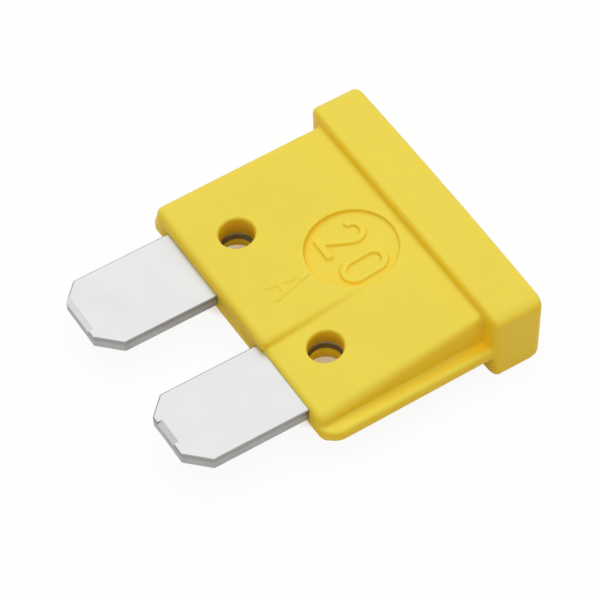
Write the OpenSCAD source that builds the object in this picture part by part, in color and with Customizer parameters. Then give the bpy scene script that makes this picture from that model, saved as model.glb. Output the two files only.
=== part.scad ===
// Regular-size automotive blade fuse: a one-piece opaque housing moulded round a
// one-piece stamped element. It lies on its back. X runs across the two blades,
// +Y points at the grip head, the blades point to -Y, and Z is the thickness.
// The origin is under the middle of the overall box, on the surface it lies on.

/* [Grip head] */
// Width of the grip head, which is the width of the fuse
head_w = 19.1; // [17.5:0.1:23]
// Thickness of the grip head
head_t = 5.1; // [4.4:0.1:6.2]
// Length of the grip head along the fuse, at its ends
head_l = 3.2; // [2.6:0.05:4.5]
// How far the outer face of the head is crowned at its middle
head_crown = 0.07; // [0.02:0.01:0.3]
// How far the rounding of the head's edges reaches down its sides
head_round_h = 0.6; // [0.3:0.05:0.7]
// How far it reaches in from the two ends of the head
head_round_x = 0.85; // [0.3:0.05:1.2]
// How far it reaches in from the outer face and from the shoulder
head_round_y = 0.45; // [0.3:0.05:0.7]
// How far it reaches in from the outer face along the head's lower edge
head_round_low = 0.8; // [0.3:0.05:0.9]

/* [Housing body] */
// Length of the body from the head to its blade end
body_l = 10.9; // [9:0.05:14]
// Width of the thick middle of the body at its blade end
body_w = 17.5; // [15.8:0.1:21]
// How much narrower each side of the body is where it meets the head
body_taper = 0.15; // [0:0.05:0.3]
// Thickness of the body where it meets the head
body_t = 3.9; // [2.8:0.05:4.2]
// Thickness of the body at the sunk corner of its blade end
body_end_t = 1.5; // [1.4:0.1:2.6]
// Radius of the body's long edges where it meets the head
body_head_r = 0.5; // [0.2:0.05:0.6]
// Radius of the body's long edges at its blade end
body_side_r = 0.7; // [0.3:0.05:0.7]
// Radius of the body's edges across its blade end
body_end_r = 0.25; // [0.1:0.05:0.4]
// Overall width across the two side rails at the blade end
rail_w = 18.9; // [17.2:0.1:22.8]
// Thickness of the side rails
rail_t = 1.25; // [0.9:0.05:1.6]
// How far the rails' middle plane lies below the strip's
rail_drop = 0.3; // [0:0.05:0.4]
// Radius of the left rail's blade-end corner in plan
rail_left_r = 0.65; // [0.5:0.05:1.5]
// Radius of the right rail's blade-end corner in plan
rail_right_r = 1.2; // [0.5:0.05:1.5]

/* [Raised panels] */
// Height of a raised panel over the sunk corner, along its step at the blade end
panel_h = 0.4; // [0.2:0.01:0.6]
// Length over which a raised panel fades into the body
panel_l = 8.4; // [6:0.1:10]
// Distance from the middle of the fuse to the foot of a panel's straight step
panel_step_x = 3.1; // [2:0.1:4.2]
// Radius of the upper edge of a panel's step
panel_step_r = 0.5; // [0.2:0.05:0.6]

/* [Rating recess] */
// Diameter of the round recess that carries the rating
recess_d = 5.4; // [4:0.1:6.2]
// Depth of the round recess
recess_h = 0.15; // [0.05:0.01:0.25]
// Distance of the recess's centre from the head's shoulder
recess_y = 3.2; // [3:0.1:6]
// Distance of the recess's centre from the middle of the fuse, to the right
recess_x = 0; // [-1:0.1:1]

/* [Element] */
// Width of each blade
blade_w = 5.4; // [4.6:0.1:6.2]
// Thickness of the stamped strip
blade_t = 0.8; // [0.5:0.05:1]
// Distance between the middle lines of the blades
blade_pitch = 9.5; // [8.6:0.1:10.5]
// Length of blade that stands out of the housing
blade_l = 7.25; // [6:0.05:9]
// Size of the corner cut on the left of each blade tip
tip_cut_left = 1.1; // [0.5:0.1:1.6]
// Size of the corner cut on the right of each blade tip
tip_cut_right = 1.3; // [0.5:0.1:1.6]
// Length of the pressed bevel at the blade tip
tip_bevel_l = 0.35; // [0.2:0.05:0.8]
// Depth of the pressed bevel on each face of the blade tip
tip_bevel_h = 0.12; // [0.05:0.01:0.2]
// Width of the shank that carries on from the blade inside the housing
shank_w = 3; // [2.6:0.1:3.4]
// Width of the test tab that ends in the head
tab_w = 2; // [1.4:0.1:2.4]
// Depth of the test tab below the head's outer face
tab_depth = 0.5; // [0.2:0.1:1]

/* [Fusible link] */
// Width of the fusible link
link_w = 0.9; // [0.5:0.1:1.3]
// Thickness of the fusible link, pressed thinner than the strip
link_t = 0.25; // [0.15:0.05:0.4]
// Middle radius of the link's arch
arch_r = 1.7; // [1.2:0.1:2]

/* [Holes and clearances] */
// Diameter of the locating holes through the housing
hole_d = 2.05; // [1.6:0.05:2.6]
// Diameter of the matching holes in the element
strip_hole_d = 1.85; // [1.4:0.05:2.4]
// Distance between the two locating holes
hole_pitch = 9.3; // [8.8:0.1:10]
// Distance of the locating holes from the blade end
hole_y = 2.9; // [2:0.05:4]
// Gap between the metal and the plastic moulded round it
seat_gap = 0.02; // [0.01:0.01:0.06]
// Wall between the link's chamber and the body's broad faces
chamber_wall = 0.65; // [0.5:0.05:0.8]
// Room round the link inside its chamber
chamber_room = 0.6; // [0.3:0.1:0.8]

/* [Hidden] */

$fn = 48;
round_fn = 24;                              // facets round a blended corner
overlap = 0.01;                             // how far a cutter passes a face
tuck = 0.03;                                // how deep a form is sunk in its neighbour

top_y = (head_l + head_crown + body_l + blade_l) / 2;
head_y = top_y - head_crown;                // ends of the head's outer face
shoulder_y = head_y - head_l;               // where head and body meet
end_y = shoulder_y - body_l;                // blade end of the housing
tip_y = end_y - blade_l;                    // tips of the blades
root_y = shoulder_y + head_l / 2;           // how deep the body is rooted in the head
mid_z = head_t / 2;                         // middle plane of the strip

panel_end_z = body_end_t / 2 + panel_h;     // top of a panel at the blade end
panel_fade_y = end_y + panel_l;

recess_z = half_t(shoulder_y - recess_y);   // height of the face under the recess
recess_tilt = atan((body_t - body_end_t) / 2 / body_l);
side_x = body_w / 2;

blade_x = blade_pitch / 2;
shank_x = blade_x + (blade_w - shank_w) / 2;
shank_y = end_y + hole_y + blade_w / 2;     // where a blade narrows to its shank
bridge_y = shank_y + arch_r + link_w / 2;   // straight ends of the link
shank_top_y = bridge_y + link_w;
tab_y = head_y - tab_depth;                 // outer end of the test tabs
tab_slot = 0.3;                             // room round a test tab in its slot
chamber_x = shank_x - shank_w / 2 + chamber_room / 2;
chamber_low_y = bridge_y - arch_r - link_w / 2 - chamber_room;
chamber_high_y = bridge_y + link_w / 2 + chamber_room;
chamber_t = 2 * (half_t(chamber_low_y) - chamber_wall);

// half the thickness of the tapered body at a place along the fuse
function half_t(y) =
    let (share = (y - end_y) / body_l)
    (body_end_t + (body_t - body_end_t) * share) / 2;

// a round button with both rims rounded, the corner piece of a blended block
module button(radius, rim_r, half_h) {
    flat_r = max(radius - rim_r, overlap);
    rotate_extrude($fn = round_fn) {
        translate([0, -half_h]) square([flat_r, 2 * half_h]);
        translate([0, rim_r - half_h]) square([flat_r + rim_r, 2 * (half_h - rim_r)]);
        for (side = [-1, 1])
            translate([flat_r, side * (half_h - rim_r)]) intersection() {
                circle(r = rim_r);
                translate([0, -rim_r]) square(2 * rim_r);
            }
    }
}

// a ball pressed to three radii, the end of a blended edge
module knob(x, y, z, radii) {
    translate([x, y, z]) scale(radii) rotate_extrude($fn = round_fn) intersection() {
        circle(r = 1, $fn = round_fn);
        translate([0, -1]) square([1, 2]);
    }
}

// grip head: one rounded bar whose outer face is crowned along an arc, and rounded
// more along its lower edge
module head() {
    steps = 6;
    reach = head_w / 2 - head_round_x;
    rim_z = head_t / 2 - head_round_h;
    hull()
        for (way = [-1, 1]) {
            for (side = [-1, 1])
                knob(side * reach, shoulder_y + head_round_y, way * rim_z,
                     [head_round_x, head_round_y, head_round_h]);
            for (i = [-steps / 2 : steps / 2])
                let (share = 2 * i / steps, bow = head_crown * (1 - share * share),
                     round_y = way < 0 ? head_round_low : head_round_y)
                knob(share * reach, head_y - round_y + bow, way * rim_z,
                     [head_round_x, round_y, head_round_h]);
        }
}

// end of one of the body's long edges: x and top_z are the outermost places it reaches
module edge_end(x, y, top_z, edge_r) {
    knob(x - sign(x) * edge_r, y + body_end_r, top_z - sign(top_z) * edge_r,
         [edge_r, body_end_r, edge_r]);
}

// thick middle of the body, tapered towards the blade end
module core() {
    hull()
        for (side = [-1, 1], way = [-1, 1]) {
            edge_end(side * side_x, end_y, way * body_end_t / 2, body_side_r);
            edge_end(side * (side_x - body_taper), root_y, way * half_t(root_y), body_head_r);
        }
}

// side rails: one flange round the body along its parting line
module rails() {
    rim_r = rail_t / 4;
    translate([0, 0, -rail_drop]) hull()
        for (corner = [[-1, rail_left_r], [1, rail_right_r]])
            let (side = corner[0], corner_r = corner[1]) {
                translate([side * (rail_w / 2 - corner_r), end_y + corner_r, 0])
                    button(corner_r, rim_r, rail_t / 2);
                translate([side * (rail_w / 2 - body_taper - rim_r), root_y, 0])
                    button(rim_r, rim_r, rail_t / 2);
            }
}

// raised panel of the upper face: its straight step stands over the sunk corner at
// the blade end, and it fades into the body near the head
module panel() {
    fade_x = body_taper * panel_l / body_l - side_x;
    fade_z = half_t(panel_fade_y);
    hull() {
        edge_end(-side_x, end_y, panel_end_z, body_side_r);
        edge_end(tuck - side_x, end_y + tuck, tuck - body_end_t / 2, body_side_r);
        edge_end(panel_step_x, end_y, panel_end_z, panel_step_r);
        edge_end(panel_step_x, end_y + tuck, tuck - body_end_t / 2, panel_step_r);
        edge_end(fade_x, panel_fade_y, fade_z, body_head_r);
        edge_end(panel_step_x, panel_fade_y, fade_z, panel_step_r);
    }
}

// flat block between two places along the fuse, centred on a line across it
module bar(x, y_from, y_to, width, thick) {
    translate([x - width / 2, y_from, -thick / 2]) cube([width, y_to - y_from, thick]);
}

// the part of the element that the plastic grips, grown by a gap all round
module gripped(gap) {
    thick = blade_t + 2 * gap;
    for (side = [-1, 1]) {
        bar(side * blade_x, end_y - overlap, shank_y + gap, blade_w + 2 * gap, thick);
        bar(side * shank_x, shank_y - gap, shank_top_y + gap, shank_w + 2 * gap, thick);
        bar(side * shank_x, shank_top_y - gap, tab_y + gap, tab_w + 2 * gap, thick);
    }
}

// one blade: corner cuts in plan, and a bevel pressed on both faces of its tip
module blade() {
    half_w = blade_w / 2;
    half_h = blade_t / 2;
    intersection() {
        translate([0, 0, -half_h]) linear_extrude(blade_t) polygon([
            [-half_w, shank_y], [half_w, shank_y], [half_w, tip_y + tip_cut_right],
            [half_w - tip_cut_right, tip_y], [tip_cut_left - half_w, tip_y],
            [-half_w, tip_y + tip_cut_left]]);
        rotate([90, 0, 90]) linear_extrude(2 * blade_w, center = true) polygon([
            [shank_y, half_h], [tip_y + tip_bevel_l, half_h], [tip_y, half_h - tip_bevel_h],
            [tip_y, tip_bevel_h - half_h], [tip_y + tip_bevel_l, -half_h],
            [shank_y, -half_h]]);
    }
}

// fusible link: two straight ends joined by an arch, pressed thin
module link() {
    reach = shank_x - shank_w / 2 + overlap;
    translate([0, bridge_y, -link_t / 2]) linear_extrude(link_t) {
        for (side = [-1, 1])
            translate([side * (reach + arch_r - link_w / 2) / 2, 0])
                square([reach - arch_r + link_w / 2, link_w], center = true);
        difference() {
            circle(r = arch_r + link_w / 2);
            circle(r = arch_r - link_w / 2);
            translate([-2 * arch_r, link_w / 2]) square(4 * arch_r);
        }
    }
}

module housing() {
    color([0.93, 0.83, 0.33]) translate([0, 0, mid_z]) difference() {
        union() {
            head();
            core();
            rails();
            panel();
            rotate([0, 180, 0]) panel();
        }
        gripped(seat_gap);
        bar(0, chamber_low_y, chamber_high_y, 2 * chamber_x, chamber_t);
        for (side = [-1, 1]) {
            bar(side * shank_x, tab_y, top_y + overlap,
                tab_w + 2 * tab_slot, blade_t + 2 * tab_slot);
            translate([side * hole_pitch / 2, end_y + hole_y, 0])
                cylinder(d = hole_d, h = 2 * head_t, center = true);
        }
        translate([recess_x, shoulder_y - recess_y, recess_z - recess_h])
            rotate([recess_tilt, 0, 0])
            cylinder(d = recess_d, h = head_t);
    }
}

module element() {
    color([0.85, 0.85, 0.86]) translate([0, 0, mid_z]) {
        difference() {
            union() {
                for (side = [-1, 1]) {
                    translate([side * blade_x, 0, 0]) blade();
                    bar(side * shank_x, shank_y, shank_top_y, shank_w, blade_t);
                    bar(side * shank_x, shank_top_y, tab_y, tab_w, blade_t);
                }
                link();
            }
            for (side = [-1, 1])
                translate([side * hole_pitch / 2, end_y + hole_y, 0])
                    cylinder(d = strip_hole_d, h = 2 * blade_t, center = true);
        }
    }
}

housing();
element();
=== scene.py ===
from math import atan, cos, pi, radians, sin

import bmesh
import bpy
from mathutils import Matrix, Vector


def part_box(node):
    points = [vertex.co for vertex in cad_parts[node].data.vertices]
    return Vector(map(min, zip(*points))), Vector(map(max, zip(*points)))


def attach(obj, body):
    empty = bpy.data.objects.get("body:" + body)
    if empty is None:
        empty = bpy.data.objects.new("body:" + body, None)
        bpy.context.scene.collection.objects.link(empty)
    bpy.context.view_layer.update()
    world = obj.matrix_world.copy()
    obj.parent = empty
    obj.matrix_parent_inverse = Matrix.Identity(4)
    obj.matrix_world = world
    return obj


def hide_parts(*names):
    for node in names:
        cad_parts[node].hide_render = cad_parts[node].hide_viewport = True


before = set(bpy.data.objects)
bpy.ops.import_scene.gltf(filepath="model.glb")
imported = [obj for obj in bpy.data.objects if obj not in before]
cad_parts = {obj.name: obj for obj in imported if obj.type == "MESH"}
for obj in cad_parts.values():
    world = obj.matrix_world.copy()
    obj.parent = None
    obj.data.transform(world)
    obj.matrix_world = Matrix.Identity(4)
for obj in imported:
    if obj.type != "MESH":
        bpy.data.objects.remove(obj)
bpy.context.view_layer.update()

# ---------------------------------------------------------------------------
# Element: one strip of zinc alloy, tin plated on both faces and blanked in a press, which
# rolls its corners over, coins the blades' tips and thins the arch of the fusible link. The
# plastic is moulded round it, so nothing else holds it.

MM = 0.001                                  # everything is drawn in millimetres
strip_low, strip_high = [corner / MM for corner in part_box("element")]
body_low, body_high = [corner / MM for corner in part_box("housing")]

tip_y = strip_low.y                         # tips of the blades
tab_y = strip_high.y                        # ends of the test tabs
end_y = body_low.y                          # blade end of the housing
top_y = body_high.y                         # crown of the head's outer face
mid_z = (body_low.z + body_high.z) / 2      # middle plane of the strip
strip_t = strip_high.z - strip_low.z

blade_w = 5.4
blade_x = strip_high.x - blade_w / 2
tip_cuts = (1.1, 1.3)                       # corners cut left and right of a tip
hole_x = 9.3 / 2                            # locating holes, through both pieces
hole_y = end_y + 2.9
strip_hole_r = 1.9 / 2
shank_w = 3.0
shank_x = blade_x + (blade_w - shank_w) / 2
shank_y = hole_y + blade_w / 2              # where a blade narrows to its shank
tab_w = 2.0
link_w = 0.9
link_t = 0.25
link_lap = 0.2                              # how far the link runs into each shank
arch_r = 1.7
arch_lean = 16                              # degrees below level, where the arch leaves its ends
bridge_y = shank_y + arch_r + link_w / 2
shank_top_y = bridge_y + link_w
link_reach = shank_x - shank_w / 2 + link_lap

edge_roll = 0.2                             # radius that the punch leaves
coin_l = 0.34                               # length of the coined bevel
coin_h = 0.12                               # and its depth at the tip
coin_spans = ((-2.0, 0.9), (-1.15, 0.6))    # across each tip, from the blade's middle
open_face = 0.97                            # a face this near to level keeps its tin
coined_face = 0.85                          # and one this near to level, at a tip, is coined
same_place = 0.001                          # two points nearer than this are one


def as_piece(name, shape):
    """Makes an object of a bmesh, and frees the bmesh."""
    mesh = bpy.data.meshes.new(name)
    shape.to_mesh(mesh)
    shape.free()
    piece = bpy.data.objects.new(name, mesh)
    bpy.context.scene.collection.objects.link(piece)
    return piece


def plate(name, outline, low, high):
    """A flat plate with that outline, between two heights."""
    shape = bmesh.new()
    base = shape.faces.new([shape.verts.new((x, y, low)) for x, y in outline])
    grown = bmesh.ops.extrude_face_region(shape, geom=[base])["geom"]
    lifted = [part for part in grown if isinstance(part, bmesh.types.BMVert)]
    bmesh.ops.translate(shape, verts=lifted, vec=(0, 0, high - low))
    bmesh.ops.recalc_face_normals(shape, faces=shape.faces)
    return as_piece(name, shape)


def arc(centre_x, centre_y, radius, start, end, steps=24):
    """Points along an arc, from one angle in degrees to another."""
    angles = [radians(start + (end - start) * k / steps) for k in range(steps + 1)]
    return [(centre_x + radius * cos(a), centre_y + radius * sin(a)) for a in angles]


def turned(name, profile, steps=64):
    """A solid of revolution about Z; the profile is (radius, height), from below."""
    shape = bmesh.new()
    rings = [[shape.verts.new((radius * cos(2 * pi * k / steps),
                               radius * sin(2 * pi * k / steps), height))
              for k in range(steps)] for radius, height in profile]
    for lower, upper in zip(rings, rings[1:]):
        for k in range(steps):
            shape.faces.new((lower[k - 1], lower[k], upper[k], upper[k - 1]))
    shape.faces.new(rings[0][::-1])
    shape.faces.new(rings[-1])
    bmesh.ops.recalc_face_normals(shape, faces=shape.faces)
    return as_piece(name, shape)


def settle(piece):
    """Makes the result of a piece's modifiers its own mesh."""
    graph = bpy.context.evaluated_depsgraph_get()
    shaped = bpy.data.meshes.new_from_object(piece.evaluated_get(graph))
    piece.modifiers.clear()
    piece.data = shaped


def combined(piece, tools, operation):
    """Joins each tool to a piece, or cuts it from the piece, and removes the tool."""
    for tool in tools:
        step = piece.modifiers.new("combined", "BOOLEAN")
        step.solver = "MANIFOLD"
        step.operation = operation
        step.object = tool
        settle(piece)
        bpy.data.objects.remove(tool)


def moved(piece, matrix):
    """Moves the mesh of a piece, and leaves its object at the origin."""
    piece.data.transform(matrix)
    return piece


def strip_half(side, gap=0.0, start_y=None):
    """One blade with its shank and test tab, or the room for them with a gap all round."""
    left, right = side * blade_x - blade_w / 2 - gap, side * blade_x + blade_w / 2 + gap
    shank_left = side * shank_x - shank_w / 2 - gap
    shank_right = side * shank_x + shank_w / 2 + gap
    tab_left, tab_right = side * shank_x - tab_w / 2 - gap, side * shank_x + tab_w / 2 + gap
    if start_y is None:
        cut_left, cut_right = tip_cuts
        tip = [(left, tip_y + cut_left), (left + cut_left, tip_y),
               (right - cut_right, tip_y), (right, tip_y + cut_right)]
    else:
        tip = [(left, start_y), (right, start_y)]
    steps = [(right, shank_y + gap), (shank_right, shank_y + gap),
             (shank_right, shank_top_y + gap), (tab_right, shank_top_y + gap),
             (tab_right, tab_y + gap), (tab_left, tab_y + gap),
             (tab_left, shank_top_y + gap), (shank_left, shank_top_y + gap),
             (shank_left, shank_y + gap), (left, shank_y + gap)]
    # where the shank runs on in line with its blade, the corner between them is left out
    corners = tip + steps
    outline = [point for k, point in enumerate(corners)
               if (Vector(point) - Vector(corners[k - 1])).length > same_place]
    return plate("strip_half", outline,
                 mid_z - strip_t / 2 - gap, mid_z + strip_t / 2 + gap)


element = strip_half(-1)
element.name = "element_strip"
inner_r, outer_r = arch_r - link_w / 2, arch_r + link_w / 2
link_top = bridge_y + link_w / 2
link_low = bridge_y - link_w / 2
link_outline = (
    [(-link_reach, link_low), (-outer_r, link_low)]
    + arc(0, bridge_y, outer_r, 180 + arch_lean, 360 - arch_lean)
    + [(outer_r, link_low), (link_reach, link_low), (link_reach, link_top), (inner_r, link_top)]
    + arc(0, bridge_y, inner_r, 0, -180)
    + [(-inner_r, link_top), (-link_reach, link_top)])
combined(element, [strip_half(1), plate("link", link_outline, mid_z - link_t / 2,
                                        mid_z + link_t / 2)], "UNION")

hole_reach = 3 * strip_t                    # how far a hole's cutter runs up and down
hole_flare = 0.4                            # the upper rim is countersunk, and the plastic keys in


def countersunk(side, gap=0.0):
    """A hole of the strip as a solid, or the plug of plastic that stays in it."""
    low_r, high_r = strip_hole_r - gap, strip_hole_r + hole_flare - gap
    plug = turned("hole", [(low_r, -hole_reach), (low_r, strip_t / 2 - hole_flare),
                           (high_r, strip_t / 2), (high_r, hole_reach)])
    return moved(plug, Matrix.Translation((side * hole_x, hole_y, mid_z)))


combined(element, [countersunk(-1), countersunk(1)], "DIFFERENCE")

rolled = element.modifiers.new("rolled_edges", "BEVEL")
rolled.width = edge_roll
rolled.segments = 3
rolled.limit_method = "ANGLE"
rolled.angle_limit = radians(40)
settle(element)

# the coining die leaves a wedge-shaped print on both faces of each tip; its outline is
# drawn in Y and Z, and stood on edge
on_edge = Matrix(((0, 0, 1, 0), (1, 0, 0, 0), (0, 1, 0, 0), (0, 0, 0, 1)))
for side, (span_left, span_right) in zip((-1, 1), coin_spans):
    for way in (-1, 1):
        face_z = mid_z + way * strip_t / 2
        die = plate("die", [(tip_y + coin_l, face_z), (tip_y - coin_l, face_z + way * coin_h),
                            (tip_y - coin_l, face_z - 2 * way * coin_h)],
                    side * blade_x + span_left, side * blade_x + span_right)
        combined(element, [moved(die, on_edge)], "DIFFERENCE")


def linear(hex_colour):
    """The linear colour of an sRGB hex value such as "#C0A53C"."""
    parts = [int(hex_colour[k:k + 2], 16) / 255 for k in (1, 3, 5)]
    return [p / 12.92 if p <= 0.04045 else ((p + 0.055) / 1.055) ** 2.4 for p in parts] + [1]


def add_node(tree, kind, settings, links=None):
    """Adds a node, with its properties and plain inputs set and its other inputs linked."""
    node = tree.nodes.new("ShaderNode" + kind)
    for name, value in settings.items():
        if isinstance(name, str) and hasattr(node, name):
            setattr(node, name, value)
        else:
            node.inputs[name].default_value = value
    for name, source in (links or {}).items():
        tree.links.new(source, node.inputs[name])
    return node


def new_material(name):
    """An empty material, and its node tree."""
    material = bpy.data.materials.new(name)
    material.use_nodes = True
    material.node_tree.nodes.clear()
    return material, material.node_tree


def tin_plate():
    """Bright tin over rolled zinc: a satin white metal, with the soft cloudy patches
    of the plating and a faint grain along the strip from rolling."""
    material, tree = new_material("tin_plate")
    place = add_node(tree, "TexCoord", {})
    per_mm = 1 / MM
    clouds = add_node(tree, "TexNoise", {"Scale": per_mm / 2.2, "Detail": 3.0},
                      {"Vector": place.outputs["Object"]})
    tint = add_node(tree, "ValToRGB", {}, {"Fac": clouds.outputs["Fac"]})
    tint.color_ramp.elements[0].position = 0.35
    tint.color_ramp.elements[0].color = linear("#D2D2D2")
    tint.color_ramp.elements[1].position = 0.7
    tint.color_ramp.elements[1].color = linear("#D7D7D6")
    # rolling lines are a few hundredths apart, and drawn at 0.25 mm so that they show
    drawn_out = add_node(tree, "Mapping", {"Scale": (1.0, 0.06, 1.0)},
                         {"Vector": place.outputs["Object"]})
    grain = add_node(tree, "TexNoise", {"Scale": per_mm / 0.25, "Detail": 2.0},
                     {"Vector": drawn_out.outputs["Vector"]})
    satin = add_node(tree, "MapRange", {"To Min": 0.3, "To Max": 0.42},
                     {"Value": clouds.outputs["Fac"]})
    relief = add_node(tree, "Bump", {"Strength": 0.12, "Distance": 0.01 * MM},
                      {"Height": grain.outputs["Fac"]})
    metal = add_node(tree, "BsdfPrincipled", {"Metallic": 1.0}, {
        "Base Color": tint.outputs["Color"], "Roughness": satin.outputs["Result"],
        "Normal": relief.outputs["Normal"]})
    add_node(tree, "OutputMaterial", {}, {"Surface": metal.outputs["BSDF"]})
    return material


def sheared_zinc():
    """The bare cut side of the strip: duller grey metal in random patches, with fine upright
    scores, and painted darker towards its top as painted shade along the blades' turned-over
    edges."""
    material, tree = new_material("sheared_zinc")
    place = add_node(tree, "TexCoord", {})
    per_mm = 1 / MM
    # punch scores are about 0.02 mm apart, and drawn at 0.15 mm so that they show
    upright = add_node(tree, "Mapping", {"Scale": (1.0, 1.0, 0.12)},
                       {"Vector": place.outputs["Object"]})
    scores = add_node(tree, "TexNoise", {"Scale": per_mm / 0.15, "Detail": 2.0},
                      {"Vector": upright.outputs["Vector"]})
    height = add_node(tree, "SeparateXYZ", {}, {"Vector": place.outputs["Object"]})
    # painted shade: darker towards the top of the cut side, where the blades' edges turn over
    painted_top_shade = add_node(tree, "MapRange", {"From Min": (mid_z + 0.05) * MM,
                                       "From Max": (mid_z + 0.3) * MM},
                    {"Value": height.outputs["Z"]})
    patches = add_node(tree, "TexNoise", {"Scale": per_mm / 0.9, "Detail": 2.0},
                       {"Vector": place.outputs["Object"]})
    share = add_node(tree, "Math", {"operation": "ADD", 1: -0.25},
                     {0: patches.outputs["Fac"]})
    depth = add_node(tree, "Math", {"operation": "ADD", "use_clamp": True},
                     {0: painted_top_shade.outputs["Result"], 1: share.outputs["Value"]})
    tint = add_node(tree, "ValToRGB", {}, {"Fac": depth.outputs["Value"]})
    tint.color_ramp.elements[0].color = linear("#B4B3B1")
    tint.color_ramp.elements[1].color = linear("#9B9A98")
    relief = add_node(tree, "Bump", {"Strength": 0.3, "Distance": 0.01 * MM},
                      {"Height": scores.outputs["Fac"]})
    metal = add_node(tree, "BsdfPrincipled", {"Metallic": 1.0, "Roughness": 0.42}, {
        "Base Color": tint.outputs["Color"], "Normal": relief.outputs["Normal"]})
    add_node(tree, "OutputMaterial", {}, {"Surface": metal.outputs["BSDF"]})
    return material


def coined_tin():
    """Tin that the coining die has scuffed: greyer and duller than the open face, in random
    patches, and painted darker on the right blade as painted shade."""
    material, tree = new_material("coined_tin")
    place = add_node(tree, "TexCoord", {})
    across = add_node(tree, "SeparateXYZ", {}, {"Vector": place.outputs["Object"]})
    rub = add_node(tree, "TexNoise", {"Scale": 1 / MM / 0.4, "Detail": 3.0},
                   {"Vector": place.outputs["Object"]})
    # painted shade: the print on the right blade is painted darker
    blade = add_node(tree, "MapRange", {"From Min": -1 * MM, "From Max": MM, "To Max": 0.6},
                     {"Value": across.outputs["X"]})
    wear_and_shade = add_node(tree, "Math", {"operation": "MULTIPLY_ADD", 1: 0.4},
                    {0: rub.outputs["Fac"], 2: blade.outputs["Result"]})
    tint = add_node(tree, "ValToRGB", {}, {"Fac": wear_and_shade.outputs["Value"]})
    tint.color_ramp.elements[0].color = linear("#D0D0D0")
    tint.color_ramp.elements[1].color = linear("#B2B2B2")
    metal = add_node(tree, "BsdfPrincipled", {"Metallic": 1.0, "Roughness": 0.45},
                     {"Base Color": tint.outputs["Color"]})
    add_node(tree, "OutputMaterial", {}, {"Surface": metal.outputs["BSDF"]})
    return material


def pierced_zinc():
    """The fractured wall of a pierced hole: dull bare zinc, never polished, painted a dark
    brownish as painted shade within the hole and painted reflection of the yellow plastic round
    it.
    """
    material, tree = new_material("pierced_zinc")
    place = add_node(tree, "TexCoord", {})
    tear = add_node(tree, "TexNoise", {"Scale": 1 / MM / 0.3, "Detail": 3.0},
                    {"Vector": place.outputs["Object"]})
    # painted shade and painted reflection: the brownish dark given to the hole's wall
    tint = add_node(tree, "ValToRGB", {}, {"Fac": tear.outputs["Fac"]})
    tint.color_ramp.elements[0].color = linear("#7F7358")
    tint.color_ramp.elements[1].color = linear("#978B6E")
    relief = add_node(tree, "Bump", {"Strength": 0.4, "Distance": 0.02 * MM},
                      {"Height": tear.outputs["Fac"]})
    metal = add_node(tree, "BsdfPrincipled", {"Metallic": 1.0, "Roughness": 0.5}, {
        "Base Color": tint.outputs["Color"], "Normal": relief.outputs["Normal"]})
    add_node(tree, "OutputMaterial", {}, {"Surface": metal.outputs["BSDF"]})
    return material


element.data.materials.clear()
element.data.materials.append(tin_plate())
element.data.materials.append(sheared_zinc())
element.data.materials.append(coined_tin())
element.data.materials.append(pierced_zinc())
# the rolled edges are steeper than that, and so take the darker sheared colour: on them it is
# painted shade along the blades' edges
for face in element.data.polygons:
    flat = abs(face.normal.z)
    at_tip = face.center.y < tip_y + coin_l
    hole_span = (Vector((abs(face.center.x), face.center.y)) - Vector((hole_x, hole_y))).length
    if flat > open_face:
        face.material_index = 0
    elif hole_span < strip_hole_r + hole_flare:
        face.material_index = 3
    else:
        face.material_index = 2 if flat > coined_face and at_tip else 1
    face.use_smooth = flat > open_face or not at_tip
even = element.modifiers.new("even_shading", "WEIGHTED_NORMAL")
even.keep_sharp = True
moved(element, Matrix.Scale(MM, 4))
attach(element, "root")
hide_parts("element")

# ---------------------------------------------------------------------------
# Housing: one moulding in yellow polyamide, a grip head across the end of a tapered body.
# Rails follow the mould's parting line, a panel on each broad face steps down to the sunk
# corner beside one blade, and two pins of the mould leave the locating holes.

head_w = body_high.x - body_low.x
head_t = body_high.z - body_low.z
head_l = 3.3
head_crown = 0.07                           # rise of the outer face towards its middle
head_round = Vector((0.85, 0.35, 0.6))      # how far the head's edges are rounded
head_round_low = 0.8                        # the same along Y, at the outer face's lower edge
head_y = top_y - head_crown
shoulder_y = head_y - head_l
root_y = shoulder_y + head_l / 2
body_l = shoulder_y - end_y

body_x = 9.1                                # half the body's width, on the panel's side
body_taper = 0.5                            # and how much less it is at the shoulder
low_side_x = 8.6                            # the same beside the sunk corner
low_head_x = 8.3                            # and at the head, under its rounding
low_head_r = 0.35
low_head_foot = 0.08                        # how far that wall's foot stands out
body_t = 3.9                                # thickness of the body at the shoulder
body_end_t = 1.5                            # and at the blade end
head_side_r = 0.5                           # long edges, at the head
end_side_r = 0.7                            # and at the blade end
end_r = 0.5                                 # edges across the blade end
rail_x = 18.9 / 2
rail_taper = 0.15
rail_t = 0.88
rail_drop = 0.46                            # from the middle plane down to the rails' own
rail_rim = 0.26                             # rounding of their edges
rail_corners = (0.65, 1.2)                  # radii of the left and the right rail's corner

panel_h = 0.45                              # above the body, at the blade end
panel_l = 9.4                               # from there to where the panel has faded
panel_x = 2.85                              # foot of the panel's straight step
panel_step_r = 0.5
panel_end_z = body_end_t / 2 + panel_h
panel_fade_y = end_y + panel_l

hole_r = 2.05 / 2
rim_r = 0.25                                # rounding of a locating hole's rim
recess_r = 5.4 / 2
recess_h = 0.24
recess_x = 0
recess_y = shoulder_y - 3.2
slot_room = 0.6                             # for the tester's tip, over a tab's own width
slot_w = tab_w + slot_room
slot_h = strip_t + slot_room
seat_gap = 0.04                             # between the metal and the plastic
chamber_room = 0.6                          # between the link and the ends of its chamber
chamber_wall = 0.65                         # from its low end out to the tapered face
overshoot = 1                               # how far a cut runs on past the outer face

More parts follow.
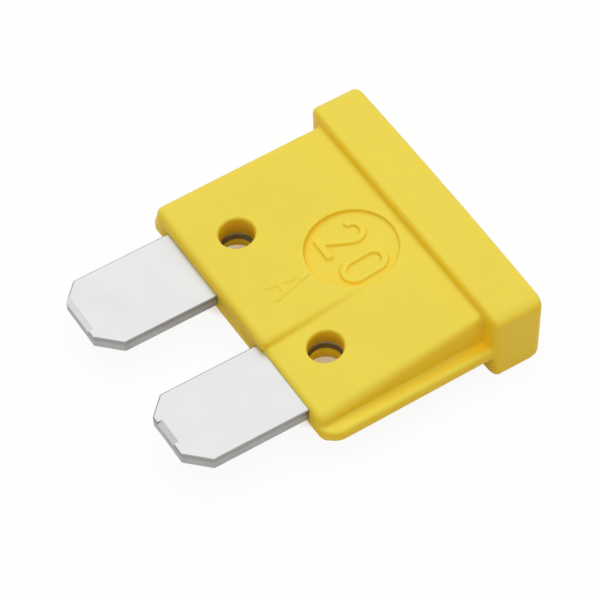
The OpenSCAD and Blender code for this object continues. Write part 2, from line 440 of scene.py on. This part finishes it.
stroke_w = 0.38                             # the rating's figures
stroke_h = 0.17
stroke_reach = 1.26                         # from the figures' middle to their outer strokes


def half_t(y):
    """Half the thickness of the tapered body at a place along the fuse."""
    return (body_end_t + (body_t - body_end_t) * (y - end_y) / body_l) / 2


def knob(x, y, z, radii, turns=24):
    """Points on a ball pressed to three radii, the end of a blended edge."""
    points = [Vector((x, y, z + way * radii[2])) for way in (-1, 1)]
    for ring in range(1, turns // 2):
        polar = pi * ring / (turns // 2)
        for k in range(turns):
            angle = 2 * pi * k / turns
            points.append(Vector((x + radii[0] * sin(polar) * cos(angle),
                                  y + radii[1] * sin(polar) * sin(angle),
                                  z + radii[2] * cos(polar))))
    return points


def edge_end(x, y, top_z, edge_r):
    """The end of one of the body's long edges; x and top_z are its outermost places."""
    inward = -edge_r if x > 0 else edge_r
    return knob(x + inward, y + end_r, top_z - edge_r, (edge_r, end_r, edge_r))


def button(x, y, radius, rim, low, high, turns=32):
    """Points on a round post with both rims rounded."""
    points = []
    for way, level in ((-1, low + rim), (1, high - rim)):
        for lean in (0, 30, 60, 90):
            ring_r = radius - rim + rim * cos(radians(lean))
            height = level + way * rim * sin(radians(lean))
            points += [Vector((x + ring_r * cos(2 * pi * k / turns),
                               y + ring_r * sin(2 * pi * k / turns), height))
                       for k in range(turns)]
    return points


def blended(name, points):
    """The smooth form stretched over all those points."""
    shape = bmesh.new()
    for point in points:
        shape.verts.new(point)
    hull = bmesh.ops.convex_hull(shape, input=shape.verts)
    inside = [v for v in hull["geom_interior"] if isinstance(v, bmesh.types.BMVert)]
    bmesh.ops.delete(shape, geom=inside, context="VERTS")
    loose = [v for v in shape.verts if not v.link_faces]
    bmesh.ops.delete(shape, geom=loose, context="VERTS")
    return moved(as_piece(name, shape), Matrix.Translation((0, 0, mid_z)))


def grip_head():
    """A rounded bar, its outer face crowned along an arc and drafted below."""
    steps = 8
    reach = head_w / 2 - head_round.x
    rim_z = head_t / 2 - head_round.z
    points = []
    for way, round_y in ((-1, head_round_low), (1, head_round.y)):
        for side in (-1, 1):
            points += knob(side * reach, shoulder_y + head_round.y, way * rim_z, head_round)
        for k in range(steps + 1):
            share = 2 * k / steps - 1
            bow = head_crown * (1 - share ** 2)
            points += knob(share * reach, head_y - round_y + bow, way * rim_z,
                           (head_round.x, round_y, head_round.z))
    return blended("head", points)


def corner_feet(corners, base_z):
    """Points under a form's corners, which keep its walls upright down to a height."""
    feet = []
    for x, y in corners:
        inward = -end_r if x > 0 else end_r
        feet += [Vector((x + inward, y, base_z)), Vector((x, y + end_r, base_z))]
    return feet


def half_core(base_z):
    """The half of the body's thick middle above a height within the rails. Its right side
    is the narrower one, beside the sunk corner."""
    root_taper = body_taper * (root_y - end_y) / body_l
    points = edge_end(-body_x, end_y, body_end_t / 2, end_side_r)
    points += edge_end(root_taper - body_x, root_y, half_t(root_y), head_side_r)
    points += knob(low_side_x - end_side_r, end_y + end_r, body_end_t / 2 - end_side_r,
                   (end_side_r, end_r, end_side_r))
    points += knob(low_head_x - low_head_r, root_y, half_t(root_y) - low_head_r,
                   (low_head_r, end_r, low_head_r))
    points = [point for point in points if point.z > base_z]
    points += corner_feet(((-body_x, end_y), (low_side_x, end_y), (root_taper - body_x, root_y),
                           (low_head_x + low_head_foot, root_y)), base_z)
    return blended("core", points)


def side_rails():
    """One flange round the body along the parting line."""
    rim = rail_rim
    low, high = -rail_drop - rail_t / 2, -rail_drop + rail_t / 2
    points = []
    for side, corner_r in zip((-1, 1), rail_corners):
        points += button(side * (rail_x - corner_r), end_y + corner_r, corner_r, rim, low, high)
        points += button(side * (rail_x - rail_taper - rim), root_y, rim, rim, low, high)
    return blended("rails", points)


def raised_panel(base_z):
    """The panel that stands over the sunk corner and fades towards the head."""
    fade_x = body_taper * panel_l / body_l - body_x
    fade_z = half_t(panel_fade_y)
    points = edge_end(-body_x, end_y, panel_end_z, end_side_r)
    points += edge_end(panel_x, end_y, panel_end_z, panel_step_r)
    points += edge_end(fade_x, panel_fade_y, fade_z, head_side_r)
    points += edge_end(panel_x, panel_fade_y, fade_z, panel_step_r)
    points = [point for point in points if point.z > base_z]
    points += corner_feet(((-body_x, end_y), (panel_x, end_y), (fade_x, panel_fade_y),
                           (panel_x, panel_fade_y)), base_z)
    return blended("panel", points)


def softened(piece, voxel):
    """Skins a piece in even facets, and melts its edges and inner corners a little."""
    skin = piece.modifiers.new("even_skin", "REMESH")
    skin.mode = "VOXEL"
    skin.voxel_size = voxel
    soft = piece.modifiers.new("soft_edges", "SMOOTH")
    soft.factor = 0.5
    soft.iterations = 1
    settle(piece)


def block(name, x, y_from, y_to, width, thick):
    """A plain block on the middle plane."""
    return plate(name, [(x - width / 2, y_from), (x + width / 2, y_from),
                        (x + width / 2, y_to), (x - width / 2, y_to)],
                 mid_z - thick / 2, mid_z + thick / 2)


def face_slope(x, way):
    """Height above the middle plane and slope of a broad face at the locating holes."""
    if x * way > 0:
        slope = (body_t - body_end_t) / 2 / body_l
        return half_t(hole_y), slope
    slope = (half_t(panel_fade_y) - panel_end_z) / panel_l
    return panel_end_z + slope * (hole_y - end_y), slope


def stroke(path, width, low, high):
    """A raised line of even width along a path, with square ends."""
    points = [Vector(point) for point in path]
    left, right = [], []
    for k, point in enumerate(points):
        ahead = points[min(k + 1, len(points) - 1)] - points[max(k - 1, 0)]
        across = Vector((-ahead.y, ahead.x)).normalized() * width / 2
        left.append(point + across)
        right.append(point - across)
    return plate("stroke", right + left[::-1], low, high)


housing = grip_head()
housing.name = "housing_moulding"
turn_over = Matrix.Rotation(pi, 4, "Y")
to_other_face = (Matrix.Translation((0, 0, mid_z)) @ turn_over
                 @ Matrix.Translation((0, 0, -mid_z)))
halves_lap = 0.02                           # the two halves overlap inside the rails
under_base = rail_drop - halves_lap
form_voxel = 0.07
fine_voxel = 0.06                           # skin of the finished form, with the figures
combined(housing, [half_core(-rail_drop), moved(half_core(under_base), to_other_face),
                   side_rails(), raised_panel(-rail_drop),
                   moved(raised_panel(under_base), to_other_face)], "UNION")
softened(housing, form_voxel)

# locating holes with rounded rims, on faces that slope a little
for side in (-1, 1):
    shaft = turned("shaft", [(hole_r, -head_t), (hole_r, head_t)])
    combined(housing, [moved(shaft, Matrix.Translation((side * hole_x, hole_y, mid_z)))],
             "DIFFERENCE")
    for way in (-1, 1):
        height, slope = face_slope(side, way)
        flare = [(hole_r - rim_r, -2 * rim_r)]
        flare += [(hole_r + rim_r * (1 - cos(radians(a))), rim_r * (sin(radians(a)) - 1))
                  for a in range(0, 91, 15)]
        flare.append((hole_r + rim_r, rim_r))
        rim = moved(turned("rim", flare), Matrix.Rotation(atan(slope), 4, "X"))
        if way < 0:
            moved(rim, turn_over)
        moved(rim, Matrix.Translation((side * hole_x, hole_y, mid_z + way * height)))
        combined(housing, [rim], "DIFFERENCE")

# the recess, with the figures 2 and 0 of the rating standing on its floor
face_tilt = atan((body_t - body_end_t) / 2 / body_l)
recess_frame = (Matrix.Translation((recess_x, recess_y, mid_z + half_t(recess_y) - recess_h))
                @ Matrix.Rotation(face_tilt, 4, "X"))
recess = turned("recess", [(recess_r, 0), (recess_r, head_t)])
combined(housing, [moved(recess, recess_frame)], "DIFFERENCE")

bowl_r = 0.62                               # middle radius of the 2's bowl
bowl_rise = 0.05                            # the bowl tops the nought a little
bowl_x, bowl_y = -1.03, stroke_reach + bowl_rise - bowl_r
foot_x, foot_end_x = -1.6, -0.2             # where the neck meets the 2's foot, and its end
two_bowl = arc(bowl_x, bowl_y, bowl_r, 188, -32)
two_neck = [(foot_x + (two_bowl[-1][0] - foot_x) * s ** 0.8,
             -stroke_reach + (two_bowl[-1][1] + stroke_reach) * s)
            for s in (0.75, 0.5, 0.25, 0.0)]
two_foot = [(foot_x - stroke_w / 2, -stroke_reach), (foot_end_x, -stroke_reach)]
nought_x, nought_r = 1.3, 0.66
nought_y = stroke_reach - nought_r
outer, inner = [arc(nought_x, nought_y, nought_r + reach, 0, 180)
                + arc(nought_x, -nought_y, nought_r + reach, 180, 360)
                for reach in (stroke_w / 2, -stroke_w / 2)]
ring = plate("nought", outer, -recess_h, stroke_h)
combined(ring, [plate("bore", inner, -head_t, head_t)], "DIFFERENCE")
figures = [stroke(two_bowl + two_neck, stroke_w, -recess_h, stroke_h),
           stroke(two_foot, stroke_w, -recess_h, stroke_h), ring]
combined(housing, [moved(figure, recess_frame) for figure in figures], "UNION")

# slots in the head's outer face, over the test tabs
for side in (-1, 1):
    slot = block("slot", side * shank_x, tab_y, top_y + overshoot, slot_w, slot_h)
    combined(housing, [slot], "DIFFERENCE")

# the unit's letter, a fine line on the panel between the blades
letter_x, letter_y = 0.13, -0.05
letter_w = 0.13                             # width of its line
letter_h = 0.07                             # and how far the line stands up
letter_sunk = 0.2
letter_apex = (0, 1.26)
letter_lines = (((-0.5, -1.3), letter_apex), ((0.6, -1.3), letter_apex),
                ((-0.35, -0.5), (0.4, -0.5)))
letter_slope = (half_t(panel_fade_y) - panel_end_z) / panel_l
letter_z = mid_z + panel_end_z + letter_slope * (letter_y - end_y)
letter_frame = (Matrix.Translation((letter_x, letter_y, letter_z))
                @ Matrix.Rotation(atan(letter_slope), 4, "X"))
for path in letter_lines:
    line = stroke(path, letter_w, -letter_sunk, letter_h)
    combined(housing, [moved(line, letter_frame)], "UNION")
softened(housing, fine_voxel)

# the room that the element fills, and the chamber round its link
chamber_w = 2 * shank_x - shank_w + chamber_room
chamber_low = bridge_y - outer_r - chamber_room
chamber_t = 2 * (half_t(chamber_low) - chamber_wall)
for side in (-1, 1):
    room = strip_half(side, seat_gap, end_y - overshoot)
    combined(room, [countersunk(side, seat_gap)], "DIFFERENCE")
    combined(housing, [room], "DIFFERENCE")
chamber = block("chamber", 0, chamber_low, link_top + chamber_room, chamber_w, chamber_t)
combined(housing, [chamber], "DIFFERENCE")

# fewer facets, and none without area
triangles_kept = 0.37                       # share of them
fewer = housing.modifiers.new("fewer_facets", "DECIMATE")
fewer.ratio = triangles_kept
settle(housing)
facets = bmesh.new()
facets.from_mesh(housing.data)
bmesh.ops.dissolve_degenerate(facets, edges=facets.edges, dist=same_place)
bmesh.ops.triangulate(facets, faces=facets.faces)
facets.to_mesh(housing.data)
facets.free()


def moulded_polyamide():
    """Coloured polyamide out of a finely eroded mould: a strong warm yellow with a satin skin,
    faintly clouded by the flow of the melt. It is painted a deeper gold where it turns down or in,
    as painted shade, and the walls of narrow holes glow a little, as painted light."""
    material, tree = new_material("moulded_polyamide")
    place = add_node(tree, "TexCoord", {})
    per_mm = 1 / MM
    flow = add_node(tree, "TexNoise", {"Scale": per_mm / 5, "Detail": 2.0, "Distortion": 0.6},
                    {"Vector": place.outputs["Object"]})
    open_tint = add_node(tree, "ValToRGB", {}, {"Fac": flow.outputs["Fac"]})
    open_tint.color_ramp.elements[0].position = 0.3
    open_tint.color_ramp.elements[0].color = linear("#EBD54E")
    open_tint.color_ramp.elements[1].position = 0.7
    open_tint.color_ramp.elements[1].color = linear("#EDD851")
    # painted shade: the yellow is mixed towards a deeper gold in corners, where the moulding
    # shades itself
    corner = add_node(tree, "AmbientOcclusion", {"Distance": 2.4 * MM, "samples": 8,
                                                 "only_local": True})
    depth = add_node(tree, "MapRange", {"From Min": 0.35, "From Max": 0.88, "To Min": 0.9,
                                        "To Max": 0.0}, {"Value": corner.outputs["AO"]})
    # painted shade: walls that stand upright are mixed towards the same deeper gold, since they
    # get less light than the level faces
    facing = add_node(tree, "SeparateXYZ", {}, {"Vector": place.outputs["Normal"]})
    upright = add_node(tree, "Math", {"operation": "ABSOLUTE"}, {0: facing.outputs["Z"]})
    upright_wall_shade = add_node(tree, "MapRange", {"From Min": 0.3, "From Max": 0.9, "To Min": 0.75,
                                         "To Max": 0.0}, {"Value": upright.outputs["Value"]})
    painted_shade = add_node(tree, "Math", {"operation": "MAXIMUM"}, {
        0: depth.outputs["Result"], 1: upright_wall_shade.outputs["Result"]})
    # painted shade: the deeper gold mixed in at corners and upright walls
    tint = add_node(tree, "Mix", {"data_type": "RGBA", 7: linear("#F4C800")},
                    {0: painted_shade.outputs["Value"], 6: open_tint.outputs["Color"]})
    # the mould's eroded grain is about 0.05 mm, and drawn at 0.14 mm so that it shows
    pits = add_node(tree, "TexNoise", {"Scale": per_mm / 0.14, "Detail": 2.0},
                    {"Vector": place.outputs["Object"]})
    satin = add_node(tree, "MapRange", {"To Min": 0.46, "To Max": 0.58},
                     {"Value": flow.outputs["Fac"]})
    relief = add_node(tree, "Bump", {"Strength": 0.08, "Distance": 0.01 * MM},
                      {"Height": pits.outputs["Fac"]})
    # light passes a little way through it, the red part farthest; and the walls of narrow holes
    # glow a little, painted light that stands in for the light the moulding would lead there
    painted_glow = add_node(tree, "MapRange", {"From Min": 0.2, "From Max": 0.55, "To Min": 0.25,
                                         "To Max": 0.0}, {"Value": corner.outputs["AO"]})
    # its emission is the painted glow of narrow holes
    plastic = add_node(tree, "BsdfPrincipled", {
        "IOR": 1.53, "Specular IOR Level": 0.3, "Subsurface Weight": 0.5,
        "Subsurface Scale": 0.5 * MM, "Subsurface Radius": (1.0, 0.88, 0.35),
        "Emission Color": linear("#FFBC00")}, {
        "Base Color": tint.outputs[2], "Roughness": satin.outputs["Result"],
        "Emission Strength": painted_glow.outputs["Result"], "Normal": relief.outputs["Normal"]})
    add_node(tree, "OutputMaterial", {}, {"Surface": plastic.outputs["BSDF"]})
    return material


housing.data.materials.clear()
housing.data.materials.append(moulded_polyamide())
for face in housing.data.polygons:
    face.use_smooth = True
moved(housing, Matrix.Scale(MM, 4))
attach(housing, "root")
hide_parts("housing")

# ---------------------------------------------------------------------------
# Studio: a matt white table under one large soft lamp, in a white room. The camera looks
# down over the right blade, along the fuse's diagonal.

table_half = 900
table_t = 1
spot_r = 2.0                                # spot of table in full yellow shade, below a hole
shade_r = 3.2                               # and where that shade has faded


def seen_directly(tree):
    """1 for the camera and for what metal and gloss mirror, 0 for the light on the object."""
    path = add_node(tree, "LightPath", {})
    mirrored = add_node(tree, "Math", {"operation": "MAXIMUM"}, {
        0: path.outputs["Is Glossy Ray"], 1: path.outputs["Is Transmission Ray"]})
    seen = add_node(tree, "Math", {"operation": "MAXIMUM"}, {
        0: path.outputs["Is Camera Ray"], 1: mirrored.outputs["Value"]})
    return seen.outputs["Value"]


def white_table():
    """A matt white table top. The camera sees it as plain white with a soft trace of
    shadow, and metal and gloss mirror it with nearly all of its shadow."""
    material, tree = new_material("white_table")
    matt = add_node(tree, "BsdfDiffuse", {"Color": linear("#E7E7E7")})
    shaded = add_node(tree, "BsdfDiffuse", {"Color": linear("#FFFFFF")})
    # painted shadow: what shows through the two holes is a spot of table painted in the yellow
    # shade of the fuse
    place = add_node(tree, "TexCoord", {})
    folded = add_node(tree, "VectorMath", {"operation": "ABSOLUTE"},
                      {0: place.outputs["Object"]})
    away = add_node(tree, "VectorMath", {"operation": "DISTANCE",
                                         1: (hole_x * MM, abs(hole_y) * MM, 0)},
                    {0: folded.outputs["Vector"]})
    under = add_node(tree, "MapRange", {"From Min": spot_r * MM, "From Max": shade_r * MM,
                                        "To Min": 1.0, "To Max": 0.0},
                     {"Value": away.outputs["Value"]})
    painted_hole_shadow = add_node(tree, "Mix", {"data_type": "RGBA", 6: linear("#FFFFFF"),
                                       7: linear("#C8B08A")}, {0: under.outputs["Result"]})
    plain = add_node(tree, "Emission", {"Strength": 1.0}, {"Color": painted_hole_shadow.outputs[2]})
    path = add_node(tree, "LightPath", {})
    shade = add_node(tree, "MapRange", {"To Min": 0.85, "To Max": 0.08},
                     {"Value": path.outputs["Is Camera Ray"]})
    white = add_node(tree, "MixShader", {}, {0: shade.outputs["Result"],
                                             1: plain.outputs["Emission"],
                                             2: shaded.outputs["BSDF"]})
    table = add_node(tree, "MixShader", {}, {0: seen_directly(tree), 1: matt.outputs["BSDF"],
                                             2: white.outputs["Shader"]})
    add_node(tree, "OutputMaterial", {}, {"Surface": table.outputs["Shader"]})
    return material


table = plate("table", [(-table_half, -table_half), (table_half, -table_half),
                        (table_half, table_half), (-table_half, table_half)], -table_t, 0)
table.data.materials.append(white_table())
moved(table, Matrix.Scale(MM, 4))

lamp_data = bpy.data.lights.new("softbox", "AREA")
lamp_data.size = 0.6
lamp_data.energy = 1.5
lamp = bpy.data.objects.new("softbox", lamp_data)
lamp.location = (-0.05, 0.03, 0.35)
lamp.visible_glossy = False                 # gloss mirrors the bright ceiling instead
bpy.context.scene.collection.objects.link(lamp)

world = bpy.data.worlds.new("white_room")
world.use_nodes = True
room = world.node_tree
room.nodes.clear()
# the walls light the fuse evenly, and metal and gloss mirror them as brighter overhead
walls = add_node(room, "Background", {"Color": linear("#FFFFFF"), "Strength": 0.35})
aim = add_node(room, "TexCoord", {})
aim_height = add_node(room, "SeparateXYZ", {}, {"Vector": aim.outputs["Generated"]})
ceiling = add_node(room, "MapRange", {"From Min": 0.05, "From Max": 0.6, "To Min": 0.5,
                                      "To Max": 1.3},
                   {"Value": aim_height.outputs["Z"]})
backdrop = add_node(room, "Background", {"Color": linear("#FFFFFF")},
                    {"Strength": ceiling.outputs["Result"]})
white_room = add_node(room, "MixShader", {}, {0: seen_directly(room),
                                              1: walls.outputs["Background"],
                                              2: backdrop.outputs["Background"]})
add_node(room, "OutputWorld", {}, {"Surface": white_room.outputs["Shader"]})
bpy.context.scene.world = world
bpy.context.scene.view_settings.view_transform = "Standard"

camera_data = bpy.data.cameras.new("camera")
camera_data.lens = 206.3
camera_data.clip_start = 0.001
camera = bpy.data.objects.new("camera", camera_data)
camera.location = (0.10339, -0.05850, 0.15290)
camera.rotation_euler = [radians(angle) for angle in (38.231, 1.793, 57.949)]
bpy.context.scene.collection.objects.link(camera)
bpy.context.scene.camera = camera
